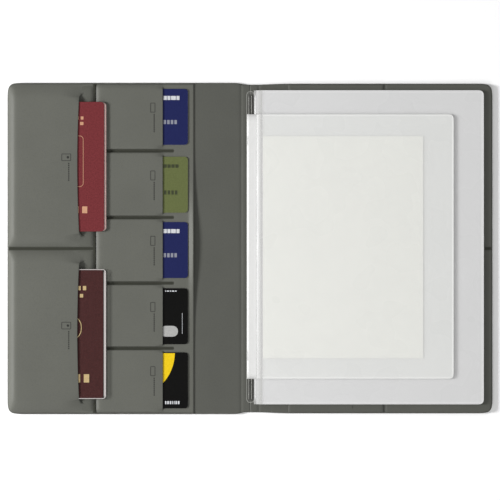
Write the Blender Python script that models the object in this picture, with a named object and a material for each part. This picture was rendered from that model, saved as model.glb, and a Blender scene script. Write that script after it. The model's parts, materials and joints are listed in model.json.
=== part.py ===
"""An A4 family-document folder with passport and card pockets, lying open flat.

X runs from the left leaf to the right one, Y runs up the leaves and Z points up from the table.
The origin is the middle of the footprint, on the table. Lengths are in metres.
"""

from math import cos, pi, sin

import bmesh
import bpy
from mathutils import Matrix, Vector

MM = 0.001

# The open folder
HALF_WIDTH = 234.3 * MM
LEFT_HALF_HEIGHT = 160.0 * MM
RIGHT_HALF_HEIGHT = 159.2 * MM
SPINE_HALF_HEIGHT = 158.2 * MM
CORNER_RADIUS = 8.5 * MM
CREASE_X = 8.5 * MM
CREASE_Z = 1.5 * MM
SKIN_GAP = 0.4 * MM
FOLD_ROOM = 1.7 * MM
RIM_WIDTH = 1.2 * MM
BOARD_INSET = 1.7 * MM
LINING_INSET = 0.6 * MM

# Levels of the layers: bottom and top
SKIN_LEVEL = (0.0 * MM, 0.9 * MM)
RIM_TOP = 2.2 * MM
BOARD_LEVEL = (1.2 * MM, 2.2 * MM)
LINING_LEVEL = (2.5 * MM, 3.1 * MM)
SHEET_LEVEL = (3.4 * MM, 3.9 * MM)
RIGHT_PANEL_LEVEL = (3.4 * MM, 4.1 * MM)

# Document pocket, card pockets and passport pockets of the left leaf
DOCUMENT_EDGE_X = -54.2 * MM
CARD_FRONT_X = (-147.0 * MM, -84.2 * MM)
CARD_FRONT_LEVEL = (4.2 * MM, 5.8 * MM)
CARD_ROOF_Z = 5.2 * MM
CARD_WALL = 0.8 * MM
SLIT_LENGTH = 57.0 * MM
PANEL_X = (-233.3 * MM, -149.2 * MM)
PANEL_HALF_HEIGHT = 158.8 * MM
POCKET_BACK_LEVEL = (4.2 * MM, 5.8 * MM)
PANEL_LEVEL = (6.1 * MM, 9.6 * MM)
PANEL_ROOF_Z = 9.0 * MM
PANEL_SEAM_Z = 6.7 * MM
PANEL_EDGE_Z = 8.2 * MM
PANEL_WALL = 2.8 * MM
WINDOW_LEFT_X = -164.5 * MM
WINDOW_BOW = 1.9 * MM
WINDOW_RADIUS = 5.0 * MM
WINDOW_Y = ((12.1 * MM, 149.5 * MM), (-149.5 * MM, -12.1 * MM))

# Pocket panels of the right leaf
RIGHT_CARD_PANEL_X = (37.0 * MM, 129.0 * MM)
RIGHT_SIDE_PANEL_X = (131.0 * MM, 233.3 * MM)
PANEL_RADIUS = 7.5 * MM

# Contents
PASSPORT_SIZE = (88.0 * MM, 125.0 * MM)
PASSPORT_RIGHT_X = -138.8 * MM
PASSPORT_Y = (78.9 * MM, -82.5 * MM)
PASSPORT_LEVEL = (6.1 * MM, 8.7 * MM)
PASSPORT_RADIUS = 3.2 * MM
CARD_SIZE = (85.6 * MM, 54.0 * MM)
CARD_RIGHT_X = -60.0 * MM
CARD_Y = (127.1 * MM, 61.6 * MM, -1.5 * MM, -65.4 * MM, -127.3 * MM)
CARD_LEVEL = (4.2 * MM, 4.96 * MM)
CARD_RADIUS = 3.18 * MM

# Binding at the spine
STRIP_X = (-3.5 * MM, 4.3 * MM)
STRIP_Y = (-149.2 * MM, 152.0 * MM)
STRIP_LEVEL = (3.4 * MM, 3.65 * MM)
WIRE_DIAMETER = 1.2 * MM
WIRE_X = 0.4 * MM
WIRE_Z = 4.5 * MM
WIRE_BEND = 1.3 * MM
WIRE_Y = (-146.9 * MM, 148.7 * MM)
KEEPER_Y = (-104.0 * MM, 104.0 * MM)
KEEPER_LENGTH = 9.0 * MM
KEEPER_WALL = 0.45 * MM
KEEPER_CLEARANCE = 0.4 * MM
KEEPER_LEVEL = (3.9 * MM, 5.65 * MM)
KEEPER_ROOF_Z = 5.3 * MM
FOLD_X = (-3.0 * MM, 4.2 * MM)
FOLD_LEVEL = (4.1 * MM, 6.2 * MM)
FOLD_FILM = 0.3 * MM
WELD_STRIP_X = (5.9 * MM, 9.0 * MM)
WELD_STRIP_LEVEL = (4.2 * MM, 5.2 * MM)
HUB_AXIS = (5.4 * MM, 4.6 * MM)

# Clear sleeves, each a back film and a front film
FILM = 0.25 * MM
FILM_PITCH = 0.5 * MM
SLEEVE_PITCH = 1.0 * MM
SLEEVE_START_X = 12.0 * MM
A4_SLEEVE_COUNT = 3
A4_RIGHT_X = 225.6 * MM
A4_Y = (-150.4 * MM, 152.7 * MM)
A4_FIRST_Z = 4.4 * MM
SMALL_SLEEVE_COUNT = 2
SMALL_RIGHT_X = 196.4 * MM
SMALL_Y = (-125.7 * MM, 129.5 * MM)
SMALL_FIRST_Z = 7.4 * MM
SLEEVE_RADIUS = 4.5 * MM
PAGE_AXIS = (5.0 * MM, 9.7 * MM)

ARC_STEPS = 6
BEYOND = 20.0 * MM

COLOURS = {
    "outer_leather": ((0.105, 0.105, 0.090), 0.55),
    "lining_leather": ((0.125, 0.126, 0.108), 0.60),
    "panel_leather": ((0.143, 0.143, 0.122), 0.55),
    "foam_backing": ((0.110, 0.110, 0.095), 0.80),
    "board_grey": ((0.300, 0.290, 0.260), 0.90),
    "clear_film": ((0.680, 0.680, 0.680), 0.20),
    "small_film": ((0.750, 0.760, 0.740), 0.20),
    "steel": ((0.600, 0.600, 0.610), 0.30),
    "passport_red": ((0.175, 0.034, 0.036), 0.50),
    "passport_brown": ((0.069, 0.023, 0.020), 0.50),
    "page_paper": ((0.800, 0.740, 0.720), 0.85),
    "jacket_film": ((0.700, 0.690, 0.680), 0.15),
    "card_blue": ((0.017, 0.023, 0.089), 0.30),
    "card_green": ((0.136, 0.156, 0.060), 0.30),
    "card_black": ((0.008, 0.008, 0.008), 0.30),
}
CARD_COLOURS = ("card_blue", "card_green", "card_blue", "card_black", "card_black")
METALS = ("steel",)


def clear_scene():
    for item in list(bpy.data.objects):
        bpy.data.objects.remove(item, do_unlink=True)


def finish_of(name):
    """A Principled material, made once for each finish."""
    material = bpy.data.materials.get(name)
    if material is None:
        colour, roughness = COLOURS[name]
        material = bpy.data.materials.new(name)
        material.use_nodes = True
        shader = material.node_tree.nodes["Principled BSDF"]
        shader.inputs["Base Color"].default_value = (*colour, 1.0)
        shader.inputs["Roughness"].default_value = roughness
        shader.inputs["Metallic"].default_value = 1.0 if name in METALS else 0.0
    return material


def pivot(name, location, parent=None):
    """An empty at a joint axis. Location is a world position at rest."""
    empty = bpy.data.objects.new(name, None)
    bpy.context.collection.objects.link(empty)
    empty.parent = parent
    origin = parent_place(parent)
    empty.location = Vector(location) - origin
    return empty


def parent_place(parent):
    """World position of an unrotated parent chain."""
    place = Vector((0.0, 0.0, 0.0))
    while parent is not None:
        place += parent.location
        parent = parent.parent
    return place


def corner(centre, radius, start):
    """A quarter circle, anticlockwise from the angle start."""
    if radius == 0:
        return [centre]
    return [
        (centre[0] + radius * cos(start + turn), centre[1] + radius * sin(start + turn))
        for turn in [pi / 2 * step / ARC_STEPS for step in range(ARC_STEPS + 1)]
    ]


def rounded(x_range, y_range, left_radius, right_radius):
    """A rectangle, anticlockwise, with one radius for its left corners and one for its right."""
    (x0, x1), (y0, y1) = x_range, y_range
    left, right = left_radius, right_radius
    return (
        corner((x1 - right, y1 - right), right, 0.0)
        + corner((x0 + left, y1 - left), left, pi / 2)
        + corner((x0 + left, y0 + left), left, pi)
        + corner((x1 - right, y0 + right), right, 1.5 * pi)
    )


def solid(name, points, sweep):
    """A closed prism: a face through the points, extruded along sweep."""
    mesh = bpy.data.meshes.new(name)
    work = bmesh.new()
    face = work.faces.new([work.verts.new(point) for point in points])
    side = bmesh.ops.extrude_face_region(work, geom=[face])
    moved = [item for item in side["geom"] if isinstance(item, bmesh.types.BMVert)]
    bmesh.ops.translate(work, verts=moved, vec=sweep)
    bmesh.ops.recalc_face_normals(work, faces=work.faces)
    work.to_mesh(mesh)
    work.free()
    made = bpy.data.objects.new(name, mesh)
    bpy.context.collection.objects.link(made)
    return made


def plate(name, outline, level):
    """A flat plate with that outline in X and Y, between two levels."""
    points = [(x, y, level[0]) for x, y in outline]
    return solid(name, points, (0.0, 0.0, level[1] - level[0]))


def rail(name, profile, y_range):
    """A bar along Y with that profile in X and Z."""
    points = [(x, y_range[0], z) for x, z in profile]
    return solid(name, points, (0.0, y_range[1] - y_range[0], 0.0))


def block(name, x_range, y_range, z_range):
    return plate(name, rounded(x_range, y_range, 0.0, 0.0), z_range)


def cut(body, *cutters):
    """Takes each cutter away from the body."""
    for cutter in cutters:
        cutter.hide_render = True
        cutter.display_type = "WIRE"
        modifier = body.modifiers.new(cutter.name, "BOOLEAN")
        modifier.operation = "DIFFERENCE"
        modifier.solver = "EXACT"
        modifier.object = cutter
    return body


def place(piece, finish, parent=None):
    """Gives a piece its finish, and hangs it under its joint's pivot without moving it."""
    piece.data.materials.append(finish_of(finish))
    origin = parent_place(parent)
    piece.data.transform(Matrix.Translation(-origin))
    piece.parent = parent
    if parent is None:
        piece.location = origin
    return piece


def cover_leaf(side, half_height, parent):
    """Skin with a turned-up rim, stiffener board and lining of one leaf. side is -1 left, 1 right."""
    name = "left" if side < 0 else "right"

    def span(inner, outer):
        return tuple(sorted((side * inner, side * outer)))

    def outline(inner, outer_inset, radius):
        x_range = span(inner, HALF_WIDTH - outer_inset)
        top = half_height - outer_inset
        radii = (radius, 0.0) if side < 0 else (0.0, radius)
        return rounded(x_range, (-top, top), *radii)

    skin = plate(
        f"{name}_outer_skin",
        outline(CREASE_X + SKIN_GAP, 0.0, CORNER_RADIUS),
        (SKIN_LEVEL[0], RIM_TOP),
    )
    well = plate(
        f"{name}_skin_well",
        outline(CREASE_X - BEYOND / 2, RIM_WIDTH, CORNER_RADIUS - RIM_WIDTH),
        (SKIN_LEVEL[1], RIM_TOP + BEYOND),
    )
    place(cut(skin, well), "outer_leather", parent)
    place(well, "outer_leather", parent)
    board = plate(
        f"{name}_board",
        outline(CREASE_X + FOLD_ROOM, BOARD_INSET, CORNER_RADIUS - BOARD_INSET),
        BOARD_LEVEL,
    )
    place(board, "board_grey", parent)
    lining = plate(
        f"{name}_lining",
        outline(CREASE_X + FOLD_ROOM, LINING_INSET, CORNER_RADIUS - LINING_INSET),
        LINING_LEVEL,
    )
    place(lining, "lining_leather", parent)


def spine_layers(parent):
    height = (-SPINE_HALF_HEIGHT, SPINE_HALF_HEIGHT)
    skin_half = CREASE_X - SKIN_GAP
    inner_half = CREASE_X - FOLD_ROOM
    skin = block("spine_outer_skin", (-skin_half, skin_half), height, SKIN_LEVEL)
    place(skin, "outer_leather", parent)
    for name, level, finish, inset in (
        ("spine_board", BOARD_LEVEL, "board_grey", BOARD_INSET),
        ("spine_lining", LINING_LEVEL, "lining_leather", 0.0),
    ):
        reach = (height[0] + inset, height[1] - inset)
        place(block(name, (-inner_half, inner_half), reach, level), finish, parent)


def wire_loop(parent):
    """A long closed loop of round wire: two straight legs and two half-circle ends."""
    middle = [
        (0.0, WIRE_Y[1] - WIRE_BEND - WIRE_DIAMETER / 2),
        (pi, WIRE_Y[0] + WIRE_BEND + WIRE_DIAMETER / 2),
    ]
    points = []
    for start, centre_y in middle:
        for step in range(ARC_STEPS + 1):
            turn = start + pi * step / ARC_STEPS
            points.append((WIRE_BEND * cos(turn), centre_y + WIRE_BEND * sin(turn), 0.0))
    shape = bpy.data.curves.new("binding_wire", "CURVE")
    shape.dimensions = "3D"
    shape.bevel_depth = WIRE_DIAMETER / 2
    shape.bevel_resolution = 2
    line = shape.splines.new("POLY")
    line.points.add(len(points) - 1)
    line.use_cyclic_u = True
    centre = Vector((WIRE_X, 0.0, WIRE_Z)) - parent_place(parent)
    for point, position in zip(line.points, points):
        point.co = (*(Vector(position) + centre), 1.0)
    shape.materials.append(finish_of("steel"))
    wire = bpy.data.objects.new("binding_wire", shape)
    bpy.context.collection.objects.link(wire)
    wire.parent = parent


def binding(parent):
    """Clear strip, wire with its two keepers, and the fold of the small sleeve block."""
    strip_radius = (STRIP_X[1] - STRIP_X[0]) / 2 - 0.1 * MM
    outline = rounded(STRIP_X, STRIP_Y, strip_radius, strip_radius)
    place(plate("clear_spine_strip", outline, STRIP_LEVEL), "clear_film", parent)
    wire_loop(parent)
    inner = WIRE_BEND + WIRE_DIAMETER / 2 + KEEPER_CLEARANCE
    outer = inner + KEEPER_WALL
    low, high = KEEPER_LEVEL
    saddle = [
        (WIRE_X - outer, low),
        (WIRE_X - inner, low),
        (WIRE_X - inner, KEEPER_ROOF_Z),
        (WIRE_X + inner, KEEPER_ROOF_Z),
        (WIRE_X + inner, low),
        (WIRE_X + outer, low),
        (WIRE_X + outer, high),
        (WIRE_X - outer, high),
    ]
    for name, y in zip(("lower_wire_keeper", "upper_wire_keeper"), KEEPER_Y):
        reach = (y - KEEPER_LENGTH / 2, y + KEEPER_LENGTH / 2)
        place(rail(name, saddle, reach), "steel", parent)
    left, right = FOLD_X
    bottom, top = FOLD_LEVEL
    fold = [
        (left, bottom),
        (left + FOLD_FILM, bottom),
        (left + FOLD_FILM, top - FOLD_FILM),
        (right, top - FOLD_FILM),
        (right, top),
        (left, top),
    ]
    place(rail("small_sleeve_fold", fold, SMALL_Y), "small_film", parent)


def sleeve(name, right_x, y_range, first_z, finish, hub):
    """One clear sleeve: a back film and a front film that turn about the page axis together."""
    axis = pivot(f"{name}_axis", (PAGE_AXIS[0], 0.0, PAGE_AXIS[1]), hub)
    outline = rounded((SLEEVE_START_X, right_x), y_range, 0.0, SLEEVE_RADIUS)
    for index, layer in enumerate(("back", "front")):
        low = first_z + index * FILM_PITCH
        film = plate(f"{name}_{layer}", outline, (low, low + FILM))
        place(film, finish, axis)


def sleeve_blocks(spine):
    hub = pivot("sleeve_hub_axis", (HUB_AXIS[0], 0.0, HUB_AXIS[1]), spine)
    weld = block("sleeve_weld_strip", WELD_STRIP_X, A4_Y, WELD_STRIP_LEVEL)
    place(weld, "clear_film", hub)
    for number in range(A4_SLEEVE_COUNT):
        low = A4_FIRST_Z + number * SLEEVE_PITCH
        sleeve(f"a4_sleeve_{number + 1}", A4_RIGHT_X, A4_Y, low, "clear_film", hub)
    for number in range(SMALL_SLEEVE_COUNT):
        low = SMALL_FIRST_Z + number * SLEEVE_PITCH
        name = f"small_sleeve_{number + 1}"
        sleeve(name, SMALL_RIGHT_X, SMALL_Y, low, "small_film", hub)


def right_pockets():
    height = (-RIGHT_HALF_HEIGHT + LINING_INSET, RIGHT_HALF_HEIGHT - LINING_INSET)
    card = rounded(RIGHT_CARD_PANEL_X, height, 0.0, 0.0)
    side = rounded(RIGHT_SIDE_PANEL_X, height, 0.0, PANEL_RADIUS)
    place(plate("right_card_panel", card, RIGHT_PANEL_LEVEL), "panel_leather")
    place(plate("right_side_panel", side, RIGHT_PANEL_LEVEL), "panel_leather")


def card_pocket_front(leaf):
    """The front of the five card pockets: one sheet on low walls, open along its right edge."""
    height = (-PANEL_HALF_HEIGHT, PANEL_HALF_HEIGHT)
    front = block("card_pocket_front", CARD_FRONT_X, height, CARD_FRONT_LEVEL)
    for number, y in enumerate(CARD_Y, start=1):
        room = block(
            f"card_room_{number}",
            (CARD_FRONT_X[0] + CARD_WALL, CARD_FRONT_X[1] + BEYOND),
            (y - SLIT_LENGTH / 2, y + SLIT_LENGTH / 2),
            (CARD_FRONT_LEVEL[0] - BEYOND, CARD_ROOF_Z),
        )
        place(room, "panel_leather", leaf)
        cut(front, room)
    place(front, "panel_leather", leaf)


def window_outline(y_range):
    """A window's outline: a bowed left edge between two round corners, open far to the right."""
    bottom, top = y_range
    right = PANEL_X[1] + BEYOND
    middle, half = (bottom + top) / 2, (top - bottom) / 2 - WINDOW_RADIUS
    centre_x = WINDOW_LEFT_X + WINDOW_RADIUS
    upper = corner((centre_x, top - WINDOW_RADIUS), WINDOW_RADIUS, pi / 2)
    lower = corner((centre_x, bottom + WINDOW_RADIUS), WINDOW_RADIUS, pi)
    bow = [
        (WINDOW_LEFT_X - WINDOW_BOW * (1 - along**2), middle - half * along)
        for along in (-0.75, -0.5, -0.25, 0.0, 0.25, 0.5, 0.75)
    ]
    return [(right, top), *upper, *bow, *lower, (right, bottom)]


def passport_pockets(leaf):
    """The foam-backed back of the two passport pockets, and their front with its two windows."""
    height = (-PANEL_HALF_HEIGHT, PANEL_HALF_HEIGHT)
    back = rounded(PANEL_X, height, PANEL_RADIUS, 0.0)
    place(plate("passport_pocket_back", back, POCKET_BACK_LEVEL), "foam_backing", leaf)
    left, right = PANEL_X
    low, high = PANEL_LEVEL
    side = [
        (left, low),
        (right, low),
        (right, PANEL_SEAM_Z),
        (WINDOW_LEFT_X, high),
        (left + PANEL_WALL, high),
        (left, PANEL_EDGE_Z),
    ]
    front = rail("passport_pocket_front", side, height)
    for number, window in enumerate(WINDOW_Y, start=1):
        room = block(
            f"passport_room_{number}",
            (left + PANEL_WALL, right + BEYOND),
            window,
            (low - BEYOND, PANEL_ROOF_Z),
        )
        opening = plate(
            f"passport_window_{number}",
            window_outline(window),
            (low - BEYOND / 2, high + BEYOND),
        )
        place(room, "panel_leather", leaf)
        place(opening, "panel_leather", leaf)
        cut(front, room, opening)
    place(front, "panel_leather", leaf)


def folded_sheet(name, x_range, y_range, z_range, wall):
    """A booklet cover: front and back joined by a back strip along the left edge."""
    outline = rounded(x_range, y_range, wall, PASSPORT_RADIUS)
    sheet = plate(name, outline, z_range)
    inside = block(
        f"{name}_inside",
        (x_range[0] + wall, x_range[1] + BEYOND),
        (y_range[0] - BEYOND, y_range[1] + BEYOND),
        (z_range[0] + wall, z_range[1] - wall),
    )
    return cut(sheet, inside), inside


def passport(number, layers, page_level, page_inset, leaf):
    """A passport booklet. layers are its folded sheets from the outside in."""
    width, height = PASSPORT_SIZE
    centre_y = PASSPORT_Y[number - 1]
    left = PASSPORT_RIGHT_X - width
    y_range = (centre_y - height / 2, centre_y + height / 2)
    middle_z = sum(PASSPORT_LEVEL) / 2
    middle = (PASSPORT_RIGHT_X - width / 2, centre_y, middle_z)
    slide = pivot(f"passport_{number}_slide", middle, leaf)
    for suffix, finish, inset, fore_edge, wall in layers:
        sheet, inside = folded_sheet(
            f"passport_{number}_{suffix}",
            (left + inset, PASSPORT_RIGHT_X - fore_edge),
            (y_range[0] + inset, y_range[1] - inset),
            (PASSPORT_LEVEL[0] + inset, PASSPORT_LEVEL[1] - inset),
            wall,
        )
        place(sheet, finish, slide)
        place(inside, finish, slide)
    page_left, page_fore_edge, page_ends = page_inset
    outline = rounded(
        (left + page_left, PASSPORT_RIGHT_X - page_fore_edge),
        (y_range[0] + page_ends, y_range[1] - page_ends),
        0.0,
        PASSPORT_RADIUS,
    )
    place(plate(f"passport_{number}_pages", outline, page_level), "page_paper", slide)


def contents(leaf):
    """Two passports and five cards, each in its pocket."""
    passport(
        1,
        [("cover", "passport_red", 0.0, 1.8 * MM, 0.45 * MM)],
        (6.85 * MM, 7.95 * MM),
        (0.8 * MM, 0.0, 0.6 * MM),
        leaf,
    )
    passport(
        2,
        [
            ("jacket", "jacket_film", 0.0, 0.0, 0.2 * MM),
            ("cover", "passport_brown", 0.4 * MM, 2.6 * MM, 0.4 * MM),
        ],
        (7.15 * MM, 7.65 * MM),
        (1.1 * MM, 2.8 * MM, 1.0 * MM),
        leaf,
    )
    width, height = CARD_SIZE
    for number, (y, finish) in enumerate(zip(CARD_Y, CARD_COLOURS), start=1):
        middle = (CARD_RIGHT_X - width / 2, y, sum(CARD_LEVEL) / 2)
        slide = pivot(f"card_{number}_slide", middle, leaf)
        outline = rounded(
            (CARD_RIGHT_X - width, CARD_RIGHT_X),
            (y - height / 2, y + height / 2),
            CARD_RADIUS,
            CARD_RADIUS,
        )
        place(plate(f"card_{number}", outline, CARD_LEVEL), finish, slide)


def document_sheet(leaf):
    """The full-height sheet of the document pocket, open along its right edge."""
    top = LEFT_HALF_HEIGHT - LINING_INSET
    x_range = (-HALF_WIDTH + LINING_INSET, DOCUMENT_EDGE_X)
    radius = CORNER_RADIUS - LINING_INSET
    outline = rounded(x_range, (-top, top), radius, 0.0)
    sheet = plate("document_pocket_sheet", outline, SHEET_LEVEL)
    place(sheet, "panel_leather", leaf)


def main():
    clear_scene()
    spine = pivot("spine_axis", (CREASE_X, 0.0, CREASE_Z))
    leaf = pivot("left_cover_axis", (-CREASE_X, 0.0, CREASE_Z), spine)
    cover_leaf(1, RIGHT_HALF_HEIGHT, None)
    cover_leaf(-1, LEFT_HALF_HEIGHT, leaf)
    spine_layers(spine)
    binding(spine)
    sleeve_blocks(spine)
    right_pockets()
    document_sheet(leaf)
    card_pocket_front(leaf)
    passport_pockets(leaf)
    contents(leaf)


main()
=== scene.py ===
# %% [markdown]
# # A family document folder, lying open
# The folder is a welded leatherette cover: a left leaf, a narrow spine and a right leaf. The left leaf
# holds two passports and five cards in pockets, and the right leaf carries clear sleeves bound at the
# spine. The solid parts come from the design model. This lesson gives each soft part its true shape:
# thin sheets that swell over what they hold, and are pressed flat where they are welded.

# %% Load the design model
import json
import math

import bmesh
import bpy
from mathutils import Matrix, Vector
from mathutils.bvhtree import BVHTree


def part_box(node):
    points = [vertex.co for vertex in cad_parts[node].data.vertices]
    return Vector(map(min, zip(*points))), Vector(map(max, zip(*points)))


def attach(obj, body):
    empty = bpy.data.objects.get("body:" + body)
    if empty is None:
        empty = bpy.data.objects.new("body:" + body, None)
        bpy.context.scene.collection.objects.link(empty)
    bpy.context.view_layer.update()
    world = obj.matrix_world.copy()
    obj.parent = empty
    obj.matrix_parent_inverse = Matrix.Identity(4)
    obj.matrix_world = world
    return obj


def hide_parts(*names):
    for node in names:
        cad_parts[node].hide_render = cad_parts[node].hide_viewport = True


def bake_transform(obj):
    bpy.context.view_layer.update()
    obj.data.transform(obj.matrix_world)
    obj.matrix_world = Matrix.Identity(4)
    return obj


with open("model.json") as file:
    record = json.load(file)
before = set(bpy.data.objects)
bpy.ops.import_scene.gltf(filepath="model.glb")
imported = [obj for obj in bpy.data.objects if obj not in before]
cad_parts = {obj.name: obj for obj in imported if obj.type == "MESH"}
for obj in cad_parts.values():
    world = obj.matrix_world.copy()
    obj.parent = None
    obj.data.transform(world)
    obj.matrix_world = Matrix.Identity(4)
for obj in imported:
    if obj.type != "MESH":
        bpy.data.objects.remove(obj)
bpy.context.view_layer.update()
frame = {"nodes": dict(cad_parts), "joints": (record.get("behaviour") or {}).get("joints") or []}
MM = 0.001

# %% [markdown]
# ## Shaping tools
# Every soft piece here is a thin sheet, so one way of working serves them all. It starts as a flat grid
# whose lines lie exactly where the real sheet changes: at a weld, a slit or a crease. Then each point
# is raised to the height that the sheet has there. A Subdivision modifier smooths it and a Solidify
# modifier gives it the thickness of the material.

# %% Curves for heights


def smooth(t):
    """0 below 0, 1 above 1, and an even S curve between."""
    t = min(max(t, 0.0), 1.0)
    return t * t * (3 - 2 * t)


def swell(t):
    """Rises at once from 0 and levels off at 1, as a stuffed edge does."""
    t = min(max(t, 0.0), 1.0)
    return 1 - (1 - t) ** 2.4


def mix(a, b, share):
    return a + (b - a) * share


print("halfway up:", smooth(0.5), round(swell(0.5), 2))

# %% Grid lines and sheets


def places(start, end, step, marks=()):
    """Grid lines from start to end: one at each mark, and evenly about step apart between."""
    stops = sorted({start, end, *[mark for mark in marks if start < mark < end]})
    lines = [start]
    for low, high in zip(stops, stops[1:]):
        count = max(1, round((high - low) / step))
        lines += [mix(low, high, (n + 1) / count) for n in range(count)]
    return lines


def around(places_of, *offsets):
    """Marks at each place, and at each offset to both sides of it."""
    return [p + side * o for p in places_of for o in (0.0, *offsets) for side in (-1, 1)]


def inside(low, high, *steps):
    """Marks at those distances in millimetres in from both ends."""
    return [low + step * MM for step in steps] + [high - step * MM for step in steps]


def flat_sheet(x_lines, y_lines):
    """A flat sheet of faces that look up, with grid lines at those places."""
    made = bmesh.new()
    across, along = len(x_lines) - 1, len(y_lines) - 1
    bmesh.ops.create_grid(made, x_segments=across, y_segments=along, size=1.0)
    for vert in made.verts:
        vert.co.x = x_lines[round((vert.co.x + 1) / 2 * across)]
        vert.co.y = y_lines[round((vert.co.y + 1) / 2 * along)]
    return made


def round_off(vert, centre, radius, way):
    """Draws a point of a square corner in to the quarter circle around that centre."""
    u = (vert.co.x - centre[0]) * way[0] / radius
    v = (vert.co.y - centre[1]) * way[1] / radius
    if u > 1e-6 and v > 1e-6:
        reach = radius * max(u, v) / math.hypot(u, v)
        vert.co.x = centre[0] + way[0] * u * reach
        vert.co.y = centre[1] + way[1] * v * reach


LEFT_CORNERS = [(-1, 1), (-1, -1)]
RIGHT_CORNERS = [(1, 1), (1, -1)]


def round_corners(made, x_range, y_range, radius, ways):
    """Rounds the corners of a sheet. A way is (1, -1) for the corner at high X and low Y."""
    for way in ways:
        centre = (
            x_range[way[0] > 0] - way[0] * radius,
            y_range[way[1] > 0] - way[1] * radius,
        )
        for vert in made.verts:
            round_off(vert, centre, radius, way)


def shape_sheet(made, height, weld=None):
    """Raises each point. height and weld take x, y and the x of the faces around the point."""
    pressed = made.verts.layers.float.new("weld")
    tops = []
    for vert in made.verts:
        faces = vert.link_faces
        beside = sum(face.calc_center_median().x for face in faces) / len(faces)
        x, y = vert.co.x, vert.co.y
        tops.append(height(x, y, beside))
        vert[pressed] = weld(x, y) if weld else 0.0
    for vert, top in zip(made.verts, tops):
        vert.co.z = top


print("marks:", [round(p, 2) for p in places(0, 10, 3, (4,))])

# %% From a sheet to a finished piece


def finish_piece(name, made, finish, slot, thickness=0.0, levels=1):
    """Makes the object: smooth if it is subdivided, and as thick as its material below its face."""
    mesh = bpy.data.meshes.new(name)
    made.to_mesh(mesh)
    made.free()
    if levels:
        mesh.shade_smooth()
    piece = bpy.data.objects.new(name, mesh)
    bpy.context.collection.objects.link(piece)
    mesh.materials.append(finish)
    if levels:
        soften = piece.modifiers.new("soften", "SUBSURF")
        soften.levels = soften.render_levels = levels
        soften.boundary_smooth = "PRESERVE_CORNERS"
    if thickness:
        wall = piece.modifiers.new("wall", "SOLIDIFY")
        wall.thickness, wall.offset = thickness, -1.0
    return piece


# %% [markdown]
# ## Materials
# Leatherette is a soft vinyl with a printed grain: fine pebbles with narrow valleys, a slightly uneven
# tone, and a satin shine that a weld presses flatter. The valleys are painted a little darker: painted
# shade in the grain. The weld grooves are painted darker too: partly the pressed vinyl's own tone and
# partly painted shade of the groove. The grain comes from a Voronoi pattern on object coordinates, so it
# has its true size everywhere. The sheet's own weld attribute says where the welding tool pressed, and
# so where that darker colour goes.

# %% Node helpers


LIGHT = 1.42


def linear(red, green, blue):
    """A screen colour from 0 to 255 as a surface colour, for lamps that light white to LIGHT."""
    tone = [c / 255 for c in (red, green, blue)]
    return tuple((c / 12.92 if c < 0.04 else ((c + 0.055) / 1.055) ** 2.4) / LIGHT for c in tone)


def new_material(name):
    material = bpy.data.materials.new(name)
    material.use_nodes = True
    shader = material.node_tree.nodes["Principled BSDF"]
    return material, material.node_tree, shader


def node(tree, kind, inputs=(), **settings):
    """A shader node. An input is a value, or a socket to link from."""
    made = tree.nodes.new("ShaderNode" + kind)
    for name, value in settings.items():
        setattr(made, name, value)
    for name, value in dict(inputs).items():
        if isinstance(value, bpy.types.NodeSocket):
            tree.links.new(value, made.inputs[name])
        else:
            made.inputs[name].default_value = value
    return made


def blend_colour(tree, share, a, b):
    """Colour a where the share is 0 and colour b where it is 1."""
    made = node(tree, "Mix", {"Factor": share}, data_type="RGBA")
    for socket, value in ((made.inputs[6], a), (made.inputs[7], b)):
        if isinstance(value, bpy.types.NodeSocket):
            tree.links.new(value, socket)
        else:
            socket.default_value = (*value, 1.0)
    return made.outputs[2]


def noise(tree, coordinates, size, detail=2.0):
    """Soft noise whose blotches are about size metres across."""
    inputs = {"Vector": coordinates, "Scale": 1 / size, "Detail": detail}
    return node(tree, "TexNoise", inputs).outputs["Fac"]


def between(tree, value, low, high, start=0.0, end=1.0):
    """Rescales a value from start to end, to low to high."""
    inputs = {"Value": value, "From Min": start, "From Max": end, "To Min": low, "To Max": high}
    return node(tree, "MapRange", inputs).outputs["Result"]


def object_place(tree):
    return node(tree, "TexCoord").outputs["Object"]


# %% Leatherette


def leatherette(name, colour, pressed, grain=0.9 * MM, relief=0.05 * MM, shine=0.52):
    material, tree, shader = new_material(name)
    where = object_place(tree)
    cells = node(
        tree,
        "TexVoronoi",
        {"Vector": where, "Scale": 1 / grain, "Randomness": 1.0},
        feature="SMOOTH_F1",
    ).outputs["Distance"]
    pores = noise(tree, where, grain / 3)
    tone = between(tree, noise(tree, where, 45 * MM, 3.0), 0.30, 0.70, 0.3, 0.7)
    darker = tuple(c * 0.90 for c in colour)
    lighter = tuple(c * 1.09 for c in colour)
    base = blend_colour(tree, tone, darker, lighter)
    # The grain's valleys are painted darker: painted shade in the grain.
    valley_shade = between(tree, cells, 0.0, 0.22, 0.35, 0.85)
    base = blend_colour(tree, valley_shade, base, tuple(c * 0.55 for c in colour))
    # Where the weld attribute is 1 the colour turns to pressed: partly the pressed vinyl's own tone, partly
    # painted shade in the weld grooves.
    weld = node(tree, "Attribute", attribute_name="weld").outputs["Fac"]
    tree.links.new(blend_colour(tree, weld, base, pressed), shader.inputs["Base Color"])
    rough = between(tree, pores, shine - 0.05, shine + 0.08, 0.3, 0.7)
    eased = node(tree, "Math", {0: rough, 1: between(tree, weld, 1.0, 0.75)}, operation="MULTIPLY")
    tree.links.new(eased.outputs[0], shader.inputs["Roughness"])
    uneven = node(tree, "Math", {0: cells, 1: pores}, operation="SUBTRACT").outputs[0]
    calm = node(tree, "Math", {0: uneven, 1: between(tree, weld, 1.0, 0.25)}, operation="MULTIPLY")
    bump = node(tree, "Bump", {"Height": calm.outputs[0], "Distance": relief, "Strength": 0.6}, invert=True)
    tree.links.new(bump.outputs["Normal"], shader.inputs["Normal"])
    shader.inputs["Specular IOR Level"].default_value = 0.2
    return material


# The weld colour: partly the pressed vinyl's own darker tone, partly painted shade in the grooves.
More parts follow.
